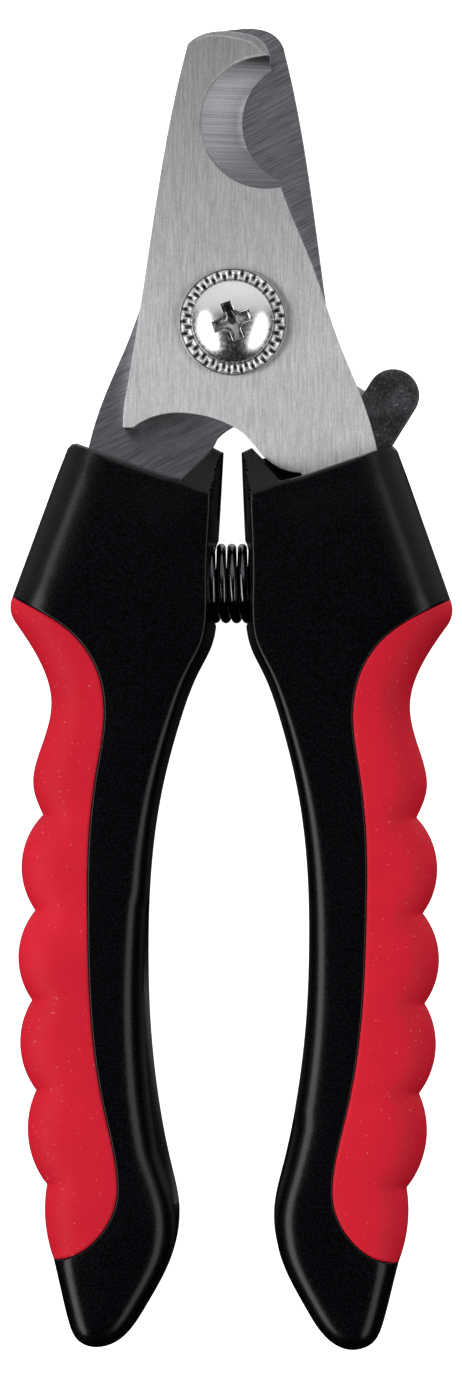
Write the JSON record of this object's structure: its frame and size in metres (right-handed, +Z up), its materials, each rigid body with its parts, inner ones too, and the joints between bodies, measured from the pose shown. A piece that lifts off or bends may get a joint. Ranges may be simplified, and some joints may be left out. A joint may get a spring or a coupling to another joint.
{
  "type": "pet nail trimmer",
  "caption": "Plier-type claw trimmer: two hooked steel blades on a screw pivot, black handles with red scalloped grips, a coil return spring and a thumb lock.",
  "frame": {"origin": "below the middle of the closed object's box, on the face it rests on", "axes": "+Y towards the blade tips, +Z up along the pivot screw out of its head, +X towards the handle that carries the front blade and the lock lever"},
  "size_m": [0.0536, 0.16, 0.014],
  "materials": {
    "blade_steel": "brushed stainless, hollow-ground bevels",
    "chrome": "polished plating",
    "spring_steel": "black oxide, glossy",
    "plain_steel": "plain stamped steel",
    "black_plastic": "fine moulded grain, satin",
    "red_rubber": "soft matte, fine speckle",
    "black_coating": "dipped coating, fine texture"
  },
  "bodies": {
    "left_half": {"rear_blade": "blade_steel", "left_handle_front": "black_plastic", "left_handle_back": "black_plastic", "left_grip": "red_rubber", "left_tang_pins": "plain_steel", "return_spring": "spring_steel"},
    "right_half": {"front_blade": "blade_steel", "right_handle_front": "black_plastic", "right_handle_back": "black_plastic", "right_grip": "red_rubber", "right_tang_pins": "plain_steel", "pivot_screw": "chrome", "serrated_washer": "chrome", "wave_washer": "spring_steel", "pivot_nut": "chrome", "lock_rivet": "plain_steel", "lock_washer": "spring_steel"},
    "lock": {"lock_lever": "plain_steel", "lock_tab_cover": "black_coating"}
  },
  "joints": [
    {"name": "opening", "type": "hinge", "parent": "left_half", "child": "right_half", "pos_m": [0, 0.0443, 0.007], "axis": [0, 0, 1], "range_deg": [-5, 28], "stiffness_Nm_per_rad": 2, "springref_deg": 30, "deforming": ["return_spring"]},
    {"name": "lock_turn", "type": "hinge", "parent": "right_half", "child": "lock", "pos_m": [0.0125, 0.0244, 0.0057], "axis": [0, 0, 1], "range_deg": [0, 9]}
  ]
}
